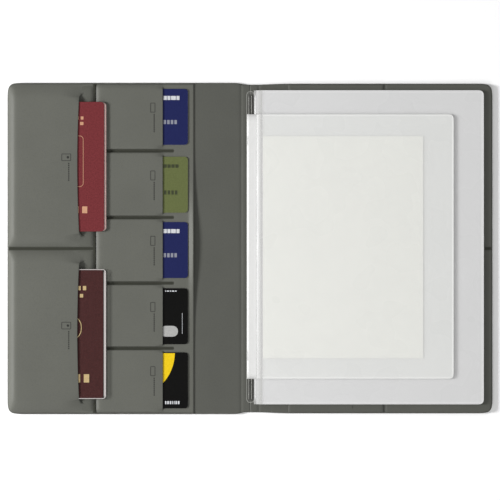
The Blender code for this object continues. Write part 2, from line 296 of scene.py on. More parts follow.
PRESSED_TONE_AND_SHADE = linear(62, 63, 55)
panel_leather = leatherette("panel_leatherette", linear(108, 109, 102), PRESSED_TONE_AND_SHADE)
lining_leather = leatherette("lining_leatherette", linear(97, 98, 92), PRESSED_TONE_AND_SHADE)
pocket_leather = leatherette("pocket_back_leatherette", linear(99, 100, 93), PRESSED_TONE_AND_SHADE)
outer_leather = leatherette(
    "outer_leatherette", linear(94, 95, 88), PRESSED_TONE_AND_SHADE, grain=1.2 * MM, relief=0.09 * MM
)
print("leatherettes:", [m.name for m in bpy.data.materials if "leatherette" in m.name])

# %% [markdown]
# ## Films
# The sleeves are soft vinyl film with a milky haze. One film lets most light through, and a stack of
# them looks almost white, so each film is a thin haze: a pale, slightly glossy surface that is partly
# see-through. Long shallow waves bend its reflections, as film that has lain in a stack does.

# %% Clear and milky film


def film(name, colour, cover, shine=0.28, wave=0.1 * MM, weld_and_highlight_cover=0.55):
    material, tree, shader = new_material(name)
    where = object_place(tree)
    haze = between(tree, noise(tree, where, 60 * MM), 0.25, 0.75, 0.3, 0.7)
    tint = blend_colour(tree, haze, tuple(c * 0.97 for c in colour), colour)
    # Where the weld attribute is 1 the film is paler and less clear: a sleeve's weld line, and on the
    # passport jacket a painted highlight along its edge.
    weld = node(tree, "Attribute", attribute_name="weld").outputs["Fac"]
    weld_line_and_highlight_tone = tuple(min(1.0, c * 1.02) for c in colour)
    tree.links.new(blend_colour(tree, weld, tint, weld_line_and_highlight_tone), shader.inputs["Base Color"])
    rough = between(tree, noise(tree, where, 30 * MM, 1.0), shine - 0.03, shine + 0.04, 0.3, 0.7)
    tree.links.new(rough, shader.inputs["Roughness"])
    ripples = noise(tree, where, 55 * MM, 0.0)
    bump = node(tree, "Bump", {"Height": ripples, "Distance": wave, "Strength": 0.5})
    tree.links.new(bump.outputs["Normal"], shader.inputs["Normal"])
    tree.links.new(between(tree, weld, cover, weld_and_highlight_cover), shader.inputs["Alpha"])
    shader.inputs["IOR"].default_value = 1.45
    return material


# A pale film for the outline of the clear strip: a painted highlight where its edge catches the light.
strip_edge_highlight = film("spine_strip_edge_highlight", linear(190, 190, 184), 0.75, shine=0.2)
a4_film = film("sleeve_film_large", (0.83, 0.83, 0.83), 0.50)
small_film = film("sleeve_film_small", (0.90, 0.905, 0.89), 0.45)
strip_film = film("spine_strip_film", linear(170, 170, 165), 0.16, shine=0.15, wave=0.05 * MM)
# The jacket film: its border is painted whiter as a highlight of its edge.
jacket_film = film(
    "passport_jacket_film", linear(235, 228, 226), 0.004, shine=0.22, wave=0.03 * MM, weld_and_highlight_cover=0.7
)
large_neck_film = film("sleeve_neck_film_large", (0.66, 0.66, 0.65), 0.34)
small_neck_film = film("sleeve_neck_film_small", (0.66, 0.66, 0.65), 0.32)
fold_film = film("sleeve_fold_film", (0.87, 0.87, 0.86), 0.57)

# %% [markdown]
# ## Small hard finishes
# Passport covers are a cloth-like bookbinding vinyl, cards are laminated plastic with a pale core that
# shows at their edge, and the binding wire is drawn steel. Each has its own scale of unevenness.

# %% Cover cloth, card plastic, print, steel, paper and board


def cover_cloth(name, colour):
    """Bookbinding vinyl with a fine woven emboss."""
    material, tree, shader = new_material(name)
    where = object_place(tree)
    weave = {"Vector": where, "Scale": 1 / (5.5 * MM), "Distortion": 1.5, "Detail": 2.0}
    threads = node(tree, "TexWave", weave, bands_direction="Y").outputs["Fac"]
    crossed = node(tree, "TexWave", weave, bands_direction="X").outputs["Fac"]
    cloth = node(tree, "Math", {0: threads, 1: crossed}, operation="MULTIPLY").outputs[0]
    fleck = between(tree, noise(tree, where, 1.1 * MM, 4.0), 0.0, 1.0, 0.3, 0.7)
    tone = tuple(c * 0.78 for c in colour), tuple(min(1.0, c * 1.2) for c in colour)
    tree.links.new(blend_colour(tree, fleck, *tone), shader.inputs["Base Color"])
    bump = node(tree, "Bump", {"Height": cloth, "Distance": 0.05 * MM, "Strength": 0.5})
    tree.links.new(bump.outputs["Normal"], shader.inputs["Normal"])
    tree.links.new(between(tree, fleck, 0.45, 0.62), shader.inputs["Roughness"])
    shader.inputs["Specular IOR Level"].default_value = 0.15
    return material


def card_plastic(name, colour, core=(0.55, 0.56, 0.58)):
    """Laminated card: the colour on its faces, and the pale core on its cut edge."""
    material, tree, shader = new_material(name)
    where = object_place(tree)
    upright = node(tree, "SeparateXYZ", {0: node(tree, "TexCoord").outputs["Normal"]})
    facing = node(tree, "Math", {0: upright.outputs["Z"]}, operation="ABSOLUTE").outputs[0]
    side = between(tree, facing, 1.0, 0.0, 0.3, 0.6)
    fleck = between(tree, noise(tree, where, 0.8 * MM, 3.0), 0.0, 1.0, 0.3, 0.7)
    tones = tuple(c * 0.85 for c in colour), tuple(c * 1.12 for c in colour)
    face = blend_colour(tree, fleck, *tones)
    tree.links.new(blend_colour(tree, side, face, core), shader.inputs["Base Color"])
    tree.links.new(between(tree, fleck, 0.30, 0.42), shader.inputs["Roughness"])
    shader.inputs["Specular IOR Level"].default_value = 0.2
    return material


def plain(name, colour, roughness, metallic=0.0, size=1.5 * MM, spread=0.08, lines=None):
    """A finish with a little unevenness. lines gives it fine darker layers in Z, as a book's pages have:
    painted shade between the pages.
    """
    material, tree, shader = new_material(name)
    where = object_place(tree)
    fleck = noise(tree, where, size, 3.0)
    tones = tuple(c * (1 - spread) for c in colour), tuple(min(1, c * (1 + spread)) for c in colour)
    base = blend_colour(tree, between(tree, fleck, 0.0, 1.0, 0.3, 0.7), *tones)
    # With lines, thin bands in Z are painted darker: painted shade in the gaps between the pages.
    if lines:
        waves = {"Vector": where, "Scale": 1 / (lines * math.tau), "Distortion": 0.6}
        layers = node(tree, "TexWave", waves, bands_direction="Z").outputs["Fac"]
        base = blend_colour(tree, between(tree, layers, 0.0, 0.35), base, tuple(c * 0.6 for c in colour))
    tree.links.new(base, shader.inputs["Base Color"])
    rough = between(tree, fleck, roughness - 0.05, roughness + 0.05, 0.3, 0.7)
    tree.links.new(rough, shader.inputs["Roughness"])
    shader.inputs["Metallic"].default_value = metallic
    return material


red_cloth = cover_cloth("passport_red_cloth", linear(122, 50, 54))
brown_cloth = cover_cloth("passport_brown_cloth", linear(70, 33, 32))
blue_card = card_plastic("card_blue", linear(36, 42, 92))
green_card = card_plastic("card_green", linear(108, 116, 72), core=(0.12, 0.14, 0.06))
black_card = card_plastic("card_black", linear(14, 14, 13), core=(0.04, 0.04, 0.045))
white_print = plain("print_white", linear(226, 228, 232), 0.4)
grey_print = plain("print_grey", linear(150, 152, 165), 0.35)
dark_print = plain("print_dark", linear(62, 68, 44), 0.4)
yellow_print = plain("print_yellow", linear(255, 216, 6), 0.4)
silver_print = plain("print_silver", linear(186, 186, 184), 0.42, size=0.7 * MM, spread=0.2)
gold_foil = plain("foil_gold", linear(232, 204, 150), 0.35, metallic=0.3)
pale_foil = plain("foil_pale_gold", linear(232, 176, 140), 0.4, metallic=0.2)
page_paper = plain("page_paper", linear(246, 208, 202), 0.8, size=0.5 * MM, lines=0.12 * MM)
insert_paper = plain("insert_paper", linear(252, 252, 244), 0.85, size=12 * MM, spread=0.02)
steel = plain("drawn_steel", linear(120, 120, 116), 0.5, metallic=1.0, size=0.4 * MM)
greyboard = plain("greyboard", linear(150, 146, 138), 0.9, size=0.9 * MM, spread=0.15)
# The pictograms' colour: painted shade of the lines pressed into the leatherette.
pictogram_shade_ink = plain("debossed_mark_painted_shade", linear(34, 35, 30), 0.5, size=0.6 * MM)
print("materials:", len(bpy.data.materials))

# %% [markdown]
# ## The cover
# The real cover is two skins of leatherette welded round stiffening boards. Outside, the skin turns up
# at the edge like a shallow tray. Inside, the lining closes it. Both bend only at two creases, one each
# side of the spine. A sheet can bend across one joint at a time here, so each skin is made as two
# halves that meet in the middle of the spine, where neither of them bends.

# %% The cover's outline
LEFT_LOW, LEFT_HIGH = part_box("left_outer_skin")
RIGHT_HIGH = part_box("right_outer_skin")[1]
SPINE_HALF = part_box("spine_outer_skin")[1].y
LINING_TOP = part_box("spine_lining")[1].z
JOINTS = {joint["name"]: joint for joint in frame["joints"]}
CREASE_X = JOINTS["spine_fold"]["pos_m"][0]
CORNER = 8.5 * MM
BEND = 3.6 * MM
SIDES = {-1: "left", 1: "right"}


def half_height(x):
    """Half the cover's height at x: it narrows a little at the spine."""
    leaf, flare = (LEFT_HIGH.y, 10 * MM) if x < 0 else (RIGHT_HIGH.y, 30 * MM)
    return mix(SPINE_HALF, leaf, smooth((abs(x) - 4 * MM) / flare))


def crease(x, depth):
    """How far a sheet is pressed in along the two creases."""
    return depth * math.exp(-(((abs(x) - CREASE_X) / (1.1 * MM)) ** 2))


def half_cover(side, inset, step):
    """One half of a cover skin, flat: from the middle of the spine to the leaf's outer edge."""
    outer = (LEFT_LOW.x if side < 0 else RIGHT_HIGH.x) - side * inset
    marks = around([side * CREASE_X], 0.6 * MM, 1.2 * MM, 2.4 * MM, BEND, 6 * MM)
    marks += [outer - side * d for d in (0.9 * MM, 2.5 * MM, CORNER / 2, CORNER)]
    x_range = tuple(sorted((0.0, outer)))
    top = half_height(outer) - inset
    edge = [top - 0.9 * MM, top - 2.5 * MM, top - CORNER / 2, top - CORNER]
    y_lines = places(-top, top, step, edge + [-y for y in edge])
    made = flat_sheet(places(*x_range, step, marks), y_lines)
    round_corners(made, x_range, (-top, top), CORNER - inset, [(side, 1), (side, -1)])
    for vert in made.verts:
        vert.co.y *= (half_height(vert.co.x) - inset) / top
    return made, x_range


def outer_edge(made):
    """The open edges of a half cover, without the one in the middle of the spine."""
    return [e for e in made.edges if e.is_boundary and max(abs(v.co.x) for v in e.verts) > 1e-6]


# %% The outer skin, with its edge turned up
SKIN_WALL = 0.7 * MM
RIM_TOP = LEFT_HIGH.z + 0.1 * MM


def outer_skin(side):
    made, x_range = half_cover(side, 0.0, 9 * MM)
    bmesh.ops.reverse_faces(made, faces=made.faces)
    shape_sheet(made, lambda x, y, beside: crease(x, 0.35 * MM))
    edge = outer_edge(made)
    for vert in {v for e in edge for v in e.verts}:
        vert.co.z += 0.5 * MM
    turned = bmesh.ops.extrude_edge_only(made, edges=edge)["geom"]
    for vert in [item for item in turned if isinstance(item, bmesh.types.BMVert)]:
        vert.co.z = RIM_TOP
    name = f"{SIDES[side]}_cover_skin"
    return finish_piece(name, made, outer_leather, "outer_leather", SKIN_WALL), x_range


def fit_to_cover(piece, side, x_range, inset, part):
    """Hides the design model's skin parts, bakes the piece's placement into its mesh and prints its flat
    size.
    """
    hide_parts(f"{SIDES[side]}_{part}", f"spine_{part}")
    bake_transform(piece)
    size = (x_range[1] - x_range[0], 2 * (half_height(x_range[side > 0]) - inset))
    print(piece.name, "flat", [round(s, 4) for s in size])


for side in SIDES:
    skin, reach = outer_skin(side)
    fit_to_cover(skin, side, reach, 0.0, "outer_skin")

# %% The lining
LINING_WALL = 0.5 * MM
LINING_INSET = 0.5 * MM


def lining(side):
    made, x_range = half_cover(side, LINING_INSET, 6 * MM)

    def height(x, y, beside):
        to_edge = min(abs(x_range[side > 0]) - abs(x), half_height(x) - LINING_INSET - abs(y))
        fall = 0.35 * MM * (1 - smooth(to_edge / (2.2 * MM)))
        return LINING_TOP - fall - crease(x, 0.45 * MM)

    shape_sheet(made, height)
    name = f"{SIDES[side]}_cover_lining"
    return finish_piece(name, made, lining_leather, "lining_leather", LINING_WALL), x_range


for side, leaf in SIDES.items():
    inner, reach = lining(side)
    fit_to_cover(inner, side, reach, LINING_INSET, "lining")

for name in ("left_board", "right_board", "spine_board"):
    finishes = frame["nodes"][name].data.materials
    finishes.clear()
    finishes.append(greyboard)

# %% [markdown]
# ## The document pocket
# One full-height sheet lies over the left lining, welded on three sides. Its right edge is open, and it
# gapes a little at mid-height, where a hand reaches in. That gape throws the long soft shadow beside it.

# %% A sheet that stays with one leaf


def lay_on_leaf(piece, leaf, node_name, size, rests_on, **area):
    """Puts a finished sheet in the place of the plain one and prints its flat size."""
    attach(piece, leaf)
    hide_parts(node_name)
    print(piece.name, [round(s, 4) for s in size])


def flat_size(node_name):
    """The width and length of a plain sheet of the design model."""
    return [high - low for low, high in zip(*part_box(node_name))][:2]


# %% The mouth of the pocket
SHEET_WALL = 0.4 * MM
DOCUMENT_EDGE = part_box("document_pocket_sheet")[1].x
MOUTH_ROOM = 6.0 * MM


def gape(x, y):
    """How far the pocket's edge stands up."""
    across = smooth((x - (DOCUMENT_EDGE - MOUTH_ROOM)) / MOUTH_ROOM)
    return 3.1 * MM * across * math.exp(-(((y - 4 * MM) / (46 * MM)) ** 2))


def document_sheet():
    low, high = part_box("document_pocket_sheet")
    mouth = [DOCUMENT_EDGE - d * MM for d in (1, 2.2, 3.5, 4.8, 6)]
    x_lines = places(low.x, high.x, 14 * MM, mouth)
    made = flat_sheet(x_lines, places(low.y, high.y, 8 * MM))
    round_corners(made, (low.x, high.x), (low.y, high.y), CORNER - 0.6 * MM, LEFT_CORNERS)
    shape_sheet(made, lambda x, y, beside: low.z + 0.25 * MM + gape(x, y))
    return finish_piece("document_pocket", made, panel_leather, "panel_leather", 0.3 * MM)


node_name = "document_pocket_sheet"
lay_on_leaf(document_sheet(), "left_cover", node_name, flat_size(node_name), ["left_cover_lining"])

# %% [markdown]
# ## The card pockets
# The card panel is one sheet with five slits. Left of a slit the sheet passes over the card, and right
# of it under the card, so the sheet steps up there. Between the cards it is welded down in narrow
# grooves with round ends. Splitting the grid's edges along a slit lets its two lips take two heights.

# %% Where the slits and welds lie
CARDS = [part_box(f"card_{n}") for n in range(1, 6)]
CARD_MIDDLES = [(low.y + high.y) / 2 for low, high in CARDS]
CARD_WELDS = [(a + b) / 2 for a, b in zip(CARD_MIDDLES, CARD_MIDDLES[1:])]
CARD_FRONT_LOW, CARD_FRONT_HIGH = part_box("card_pocket_front")
SLIT_X = CARD_FRONT_HIGH.x
SLIT_HALF = 28.2 * MM
SEAM_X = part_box("passport_pocket_front")[1].x
WELD_END_X = SLIT_X + 11.2 * MM
WELD_HALF = 1.5 * MM
CARD_OVER = CARD_FRONT_HIGH.z
CARD_UNDER = CARDS[0][0].z - 0.12 * MM
WELD_FLOOR = 3.8 * MM


def to_weld(x, y, end_x=WELD_END_X, welds=CARD_WELDS):
    """Distance to the nearest weld line, which ends in a round tip."""
    past = max(0.0, x - (end_x - WELD_HALF))
    return min(math.hypot(past, y - weld) for weld in welds)


def pressed(distance, half=WELD_HALF):
    """1 on the floor of a weld, and 0 just outside it."""
    return 1 - smooth((distance - half * 0.7) / (half * 0.5))


def card_height(x, y, beside):
    offset = min(abs(y - middle) for middle in CARD_MIDDLES)
    if offset < SLIT_HALF - 0.1 * MM:
        over = 1.0 if beside < SLIT_X else 0.0
    else:
        over = 1 - smooth((x - (SLIT_X - 7 * MM)) / (9 * MM))
    rise = over * swell((x - SEAM_X - 0.6 * MM) / (6.5 * MM))
    ends = swell((CARD_FRONT_HIGH.y - abs(y)) / (3.5 * MM))
    top = mix(CARD_UNDER, CARD_OVER, rise * ends)
    return mix(top, WELD_FLOOR, pressed(to_weld(x, y))) + gape(x, y)


def card_weld(x, y):
    # The seam beside the passport panel counts as weld here, so it is painted darker: painted shade in the
    # groove between the two panels.
    seam = 1 - smooth((x - SEAM_X - 0.6 * MM) / (0.9 * MM))
    return max(pressed(to_weld(x, y)), seam)


# %% The card panel
def slit_sheet(x_range, y_range, slit_x, middles, welds, end_x):
    """A flat sheet with grid lines for its slits and welds, and with the slits cut."""
    rims = [slit_x + d * MM for d in (-7, -4.5, -2.5, -1, 0, 1, 2)]
    tips = [end_x + d * MM for d in (-3, -1.5, -0.8, 0, 0.6)]
    left = [x_range[0] + d * MM for d in (0.5, 1.1, 2, 3, 4.5)]
    mouth = [x_range[1] - d * MM for d in (1, 2.2, 3.5, 4.8, 6)]
    x_lines = places(*x_range, 5 * MM, rims + tips + left + mouth)
    y_marks = around(middles, SLIT_HALF, SLIT_HALF - 1.2 * MM, SLIT_HALF - 3 * MM)
    y_marks += around(welds, 0.8 * MM, 1.3 * MM, 1.9 * MM)
    made = flat_sheet(x_lines, places(*y_range, 4 * MM, y_marks))
    cuts = [
        edge
        for edge in made.edges
        if all(abs(v.co.x - slit_x) < 1e-6 for v in edge.verts)
        and min(abs((edge.verts[0].co.y + edge.verts[1].co.y) / 2 - m) for m in middles) < SLIT_HALF
    ]
    bmesh.ops.split_edges(made, edges=cuts)
    return made


x_range = (SEAM_X + 0.5 * MM, DOCUMENT_EDGE - 0.5 * MM)
y_range = (CARD_FRONT_LOW.y, CARD_FRONT_HIGH.y)
made = slit_sheet(x_range, y_range, SLIT_X, CARD_MIDDLES, CARD_WELDS, WELD_END_X)
shape_sheet(made, card_height, card_weld)
card_panel = finish_piece("card_panel", made, panel_leather, "panel_leather", SHEET_WALL)
size = (x_range[1] - x_range[0], y_range[1] - y_range[0])
lay_on_leaf(card_panel, "left_cover", "card_pocket_front", size, ["document_pocket"])

# %% [markdown]
# ## The passport pockets
# A tall sheet covers both passports and is welded along its rim, across the middle and down the seam
# beside the cards. It swells over the booklets like a shallow cushion. A long window in it lets each
# passport out. The window's edge bows outwards in the middle, where the booklet pushes it.

# %% The windows
PANEL_LOW, PANEL_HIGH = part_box("passport_pocket_front")
WINDOW_X = -164.5 * MM
WINDOW_ENDS = (12.1 * MM, 149.5 * MM)
WINDOW_BOW = 1.9 * MM
WINDOW_CORNER = 4.5 * MM
PANEL_WALL = 0.5 * MM
PANEL_RIM = 4.5 * MM
PANEL_TOP = PANEL_HIGH.z - 0.1 * MM


def in_window(x, y):
    return x > WINDOW_X and WINDOW_ENDS[0] < abs(y) < WINDOW_ENDS[1]


def bow(x, y):
    """How far the sheet beside a window is pushed to the left."""
    middle, half = sum(WINDOW_ENDS) / 2, (WINDOW_ENDS[1] - WINDOW_ENDS[0]) / 2
    along = (abs(y) - middle) / half
    near = 1 - smooth((WINDOW_X - x) / (16 * MM))
    return WINDOW_BOW * near * max(0.0, 1 - along**2) if x < WINDOW_X + 1e-6 else 0.0


def passport_height(x, y, beside):
    rise = swell((x - PANEL_LOW.x) / (8.5 * MM))
    beyond = smooth((abs(y) - 143 * MM) / (6 * MM)) + smooth((15.5 * MM - abs(y)) / (4 * MM))
    fall = WINDOW_X - mix(1.5 * MM, 15 * MM, beyond)
    rise *= 1 - smooth((x - fall) / (SEAM_X - fall))
    rise *= swell((PANEL_HIGH.y - abs(y)) / (17 * MM)) * swell((abs(y) - 1.3 * MM) / (14 * MM))
    u = (x - PANEL_LOW.x) / (WINDOW_X - PANEL_LOW.x)
    v = abs(y) / PANEL_HIGH.y
    crown = 0.45 * MM * max(0.0, math.sin(math.pi * min(u, 1.0))) * math.sin(math.pi * v)
    return mix(PANEL_RIM, PANEL_TOP, rise) + crown


def passport_weld(x, y):
    # The middle weld and the seam take the weld colour: partly the pressed vinyl's tone, partly painted
    # shade in the grooves.
    seam = smooth((x - SEAM_X + 2.8 * MM) / (0.8 * MM))
    return max(pressed(abs(y), 1.7 * MM), seam)


# %% The passport panel
def window_sheet():
    corner_steps = [n * WINDOW_CORNER / 4 for n in range(5)]
    x_marks = [WINDOW_X + d for d in corner_steps] + [WINDOW_X - 1 * MM, WINDOW_X - 3 * MM]
    x_marks += [PANEL_LOW.x + d * MM for d in (1, 2.2, 4, 6, 8.5)]
    x_marks += [SEAM_X - d * MM for d in (2.8, 2.2, 1.6, 0.8)]
    y_marks = [d * MM for d in (0, 0.8, 1.4, 2.0, 3, 4.5, 6.5, 9)]
    y_marks += [WINDOW_ENDS[0] + d for d in corner_steps] + [WINDOW_ENDS[1] - d for d in corner_steps]
    y_marks += [PANEL_HIGH.y - d * MM for d in (1, 2.2, 4, 6.5)]
    y_marks += [-y for y in y_marks]
    x_lines = places(PANEL_LOW.x, PANEL_HIGH.x, 5 * MM, x_marks)
    made = flat_sheet(x_lines, places(PANEL_LOW.y, PANEL_HIGH.y, 5 * MM, y_marks))
    centres = [(face, face.calc_center_median()) for face in made.faces]
    gone = [face for face, c in centres if in_window(c.x, c.y)]
    bmesh.ops.delete(made, geom=gone, context="FACES")
    for vert in made.verts:
        vert.co.x -= bow(vert.co.x, vert.co.y)
        if not vert.is_boundary:
            continue
        for end, inward in ((WINDOW_ENDS[0], 1), (WINDOW_ENDS[1], -1)):
            for mirror in (1, -1):
                centre = (WINDOW_X + WINDOW_CORNER, mirror * (end + inward * WINDOW_CORNER))
                near = abs(vert.co.y - mirror * end) < WINDOW_CORNER + 1e-6
                if near and vert.co.x < centre[0] + 1e-6 and vert.co.x > WINDOW_X - 1 * MM:
                    round_off(vert, centre, WINDOW_CORNER, (-1, -mirror * inward))
    corner_box = ((PANEL_LOW.x, PANEL_HIGH.x), (PANEL_LOW.y, PANEL_HIGH.y))
    round_corners(made, *corner_box, CORNER - 1 * MM, LEFT_CORNERS)
    return made


made = window_sheet()
shape_sheet(made, passport_height, passport_weld)
passport_panel = finish_piece("passport_panel", made, panel_leather, "panel_leather", PANEL_WALL)
size = flat_size("passport_pocket_front")
window_area = 2 * (PANEL_HIGH.x - WINDOW_X) * (WINDOW_ENDS[1] - WINDOW_ENDS[0])
lay_on_leaf(
    passport_panel,
    "left_cover",
    "passport_pocket_front",
    size,
    ["passport_1_cover", "passport_2_cover"],
    area=size[0] * size[1] - window_area,
)

# %% The back of the passport pockets
BACK_LOW, BACK_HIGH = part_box("passport_pocket_back")


def back_height(x, y, beside):
    to_edge = min(x - BACK_LOW.x, BACK_HIGH.y - abs(y))
    rise = swell(to_edge / (6 * MM)) * (1 - smooth((x - SEAM_X + 5 * MM) / (5 * MM)))
    return mix(PANEL_RIM - 0.55 * MM, BACK_HIGH.z - 0.05 * MM, rise * swell((abs(y) - 1 * MM) / (4 * MM)))


back_y = [d * MM for d in (1, 2, 3.5, 5, 150, 153, 156)]
back_x = [SEAM_X - d * MM for d in (5, 3.8, 2.6, 1.6, 0.8)] + [BACK_LOW.x + d * MM for d in (2, 4, 6)]
x_lines = places(BACK_LOW.x, BACK_HIGH.x, 7 * MM, back_x)
made = flat_sheet(x_lines, places(BACK_LOW.y, BACK_HIGH.y, 7 * MM, back_y + [-y for y in back_y]))
back_box = ((BACK_LOW.x, BACK_HIGH.x), (BACK_LOW.y, BACK_HIGH.y))
round_corners(made, *back_box, CORNER - 1 * MM, LEFT_CORNERS)
# The weld mask paints the pocket back darker along the seam: painted shade in the seam's groove.
shape_sheet(made, back_height, lambda x, y: smooth((x - SEAM_X + 2.6 * MM) / (0.8 * MM)))
pocket_back = finish_piece("passport_pocket_lining", made, pocket_leather, "foam_backing", 0.35 * MM)
node_name = "passport_pocket_back"
lay_on_leaf(pocket_back, "left_cover", node_name, flat_size(node_name), ["document_pocket"])

# %% [markdown]
# ## Pockets under the sleeves
# The right leaf has the same kind of welded sheets: a card panel with slits, and a side panel with two
# compartments. They are empty, so they lie flat, and the clear sleeves hide most of them.

# %% The right panels
RIGHT_CARD_LOW, RIGHT_CARD_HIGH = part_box("right_card_panel")
RIGHT_SIDE_LOW, RIGHT_SIDE_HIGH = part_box("right_side_panel")
RIGHT_SLIT_X = RIGHT_CARD_HIGH.x - (DOCUMENT_EDGE - SLIT_X)
RIGHT_WELD_END = RIGHT_SLIT_X + 11.2 * MM
RIGHT_FLAT = RIGHT_CARD_HIGH.z
RIGHT_FLOOR = 3.55 * MM


def right_card_height(x, y, beside):
    offset = min(abs(y - middle) for middle in CARD_MIDDLES)
    lip = 0.15 * MM if offset < SLIT_HALF - 0.1 * MM and beside < RIGHT_SLIT_X else 0.0
    near = math.exp(-(((x - RIGHT_SLIT_X) / (5 * MM)) ** 2))
    edge = swell((x - RIGHT_CARD_LOW.x) / (2.5 * MM)) * swell((RIGHT_CARD_HIGH.x - x) / (2.5 * MM))
    top = mix(RIGHT_FLOOR, RIGHT_FLAT, edge) + lip * near
    return mix(top, RIGHT_FLOOR, pressed(to_weld(x, y, RIGHT_WELD_END)))


def right_side_height(x, y, beside):
    to_edge = min(x - RIGHT_SIDE_LOW.x, RIGHT_SIDE_HIGH.x - x, RIGHT_SIDE_HIGH.y - abs(y))
    top = mix(RIGHT_FLOOR, RIGHT_FLAT, swell(to_edge / (2.5 * MM)))
    return mix(top, RIGHT_FLOOR, pressed(abs(y)))


x_range = (RIGHT_CARD_LOW.x, RIGHT_CARD_HIGH.x)
y_range = (RIGHT_CARD_LOW.y, RIGHT_CARD_HIGH.y)
made = slit_sheet(x_range, y_range, RIGHT_SLIT_X, CARD_MIDDLES, CARD_WELDS, RIGHT_WELD_END)
shape_sheet(made, right_card_height, lambda x, y: pressed(to_weld(x, y, RIGHT_WELD_END)))
right_cards = finish_piece("right_card_pockets", made, lining_leather, "panel_leather", SHEET_WALL)
edge_marks = [d * MM for d in (0, 0.8, 1.3, 1.9, 3)]
side_x = [RIGHT_SIDE_LOW.x + d * MM for d in (1, 2.5)] + [RIGHT_SIDE_HIGH.x - d * MM for d in (1, 2.5, 7.5)]
side_y = edge_marks + [RIGHT_SIDE_HIGH.y - d * MM for d in (1, 2.5, 7.5)]
x_lines = places(RIGHT_SIDE_LOW.x, RIGHT_SIDE_HIGH.x, 8 * MM, side_x)
y_lines = places(RIGHT_SIDE_LOW.y, RIGHT_SIDE_HIGH.y, 8 * MM, side_y + [-y for y in side_y])
made = flat_sheet(x_lines, y_lines)
side_box = ((RIGHT_SIDE_LOW.x, RIGHT_SIDE_HIGH.x), (RIGHT_SIDE_LOW.y, RIGHT_SIDE_HIGH.y))
round_corners(made, *side_box, CORNER - 1 * MM, RIGHT_CORNERS)
shape_sheet(made, right_side_height, lambda x, y: pressed(abs(y)))
right_side = finish_piece("right_side_pockets", made, lining_leather, "panel_leather", SHEET_WALL)
for piece, node_name in ((right_cards, "right_card_panel"), (right_side, "right_side_panel")):
    lay_on_leaf(piece, "right_cover", node_name, flat_size(node_name), ["right_cover_lining"])

# %% [markdown]
# ## The passports
# A booklet cover is one board-like sheet folded round the pages. It is made flat and then wrapped: what
# lies left of the fold line is carried round a half circle and back underneath. The second passport
# wears a clear jacket, made the same way. A white band along its edge is a painted highlight, where the
# jacket's edge catches the light.

# %% Wrapping a cover round its pages
BOOK_CORNER = 3.2 * MM


def jacket_highlight_band(low, high, x, y):
    """1 on the band along the clear jacket's edge that is painted white: a painted highlight."""
    side = 1 - smooth((high.x - x - 1.5 * MM) / (0.4 * MM))
    ends = 1 - smooth((min(high.y - y, y - low.y) - 0.4 * MM) / (0.4 * MM))
    return max(side, ends)


def booklet_sheet(name, node_name, finish, slot, wall, white_edge_highlight=False):
    low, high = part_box(node_name)
    radius = (high.z - low.z) / 2
    fold_x, middle_z = low.x + radius, (low.z + high.z) / 2
    flat_left = fold_x - math.pi * radius - (high.x - fold_x)
    turn = [fold_x - math.pi * radius * n / 6 for n in range(7)]
    sides = inside(flat_left, high.x, 0.8, 1.6, 2.4, 3.2)
    ends = inside(low.y, high.y, 0.4, 0.8, 1.6, 2.4, 3.2)
    x_lines = places(flat_left, high.x, 12 * MM, turn + sides)
    made = flat_sheet(x_lines, places(low.y, high.y, 12 * MM, ends))
    corners = RIGHT_CORNERS + LEFT_CORNERS
    round_corners(made, (flat_left, high.x), (low.y, high.y), BOOK_CORNER, corners)
    shape_sheet(
        made,
        lambda x, y, beside: high.z,
        # On the jacket this mask paints a white highlight along its edge.
        lambda x, y: jacket_highlight_band(low, high, x, y) if white_edge_highlight else 0.0,
    )
    for vert in made.verts:
        past = fold_x - vert.co.x
        if past > math.pi * radius:
            vert.co.x, vert.co.z = fold_x + past - math.pi * radius, low.z
        elif past > 0:
            vert.co.x = fold_x - radius * math.sin(past / radius)
            vert.co.z = middle_z + radius * math.cos(past / radius)
    piece = finish_piece(name, made, finish, slot, wall, levels=1)
    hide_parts(node_name)
    return piece


# %% Two passports
def dress(node_name, finish, slot_name):
    """Gives a part of the design model its finish."""
    part = frame["nodes"][node_name]
    part.data.materials.clear()
    part.data.materials.append(finish)
    return part


covers = {
    1: booklet_sheet("passport_1_binding", "passport_1_cover", red_cloth, "passport_red", 0.45 * MM),
    2: booklet_sheet("passport_2_binding", "passport_2_cover", brown_cloth, "passport_brown", 0.4 * MM),
}
jacket = booklet_sheet(
    "passport_2_wrap", "passport_2_jacket", jacket_film, "jacket_film", 0.15 * MM, white_edge_highlight=True
)
for number, cover in covers.items():
    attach(cover, f"passport_{number}")
    dress(f"passport_{number}_pages", page_paper, "paper")
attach(jacket, "passport_2")
print("passports:", [p.name for p in (*covers.values(), jacket)])

# %% [markdown]
# ## Flat marks
# Foil, print and the small pictograms pressed into the leatherette are all thin flat shapes. Each starts
# as one square face whose corners are bevelled round. An inset turns it into an outline. No mark is
# lettering: short bars stand where a real card or passport has words and numbers.

# %% Stamping marks
MARK_WALL = 0.05 * MM


def stamp(made, x, y, width, height, radius=0.2 * MM, line=None, segments=5):
    """Adds one mark to a bmesh. With line, only an outline that thick is left."""
    before = set(made.faces)
    corners = bmesh.ops.create_grid(made, x_segments=1, y_segments=1, size=0.5)["verts"]
    bmesh.ops.scale(made, vec=(width, height, 1), verts=corners)
    bmesh.ops.translate(made, vec=(x, y, 0), verts=corners)
    offset = min(radius, width * 0.499, height * 0.499)
    arc = {"offset": offset, "offset_type": "OFFSET", "segments": segments, "profile": 0.5}
    bmesh.ops.bevel(made, geom=corners, affect="VERTICES", material=-1, **arc)
    mark = [face for face in made.faces if face not in before]
    if line:
        bmesh.ops.inset_region(made, faces=mark, thickness=line, use_boundary=True, use_even_offset=True)
        bmesh.ops.delete(made, geom=mark, context="FACES_ONLY")


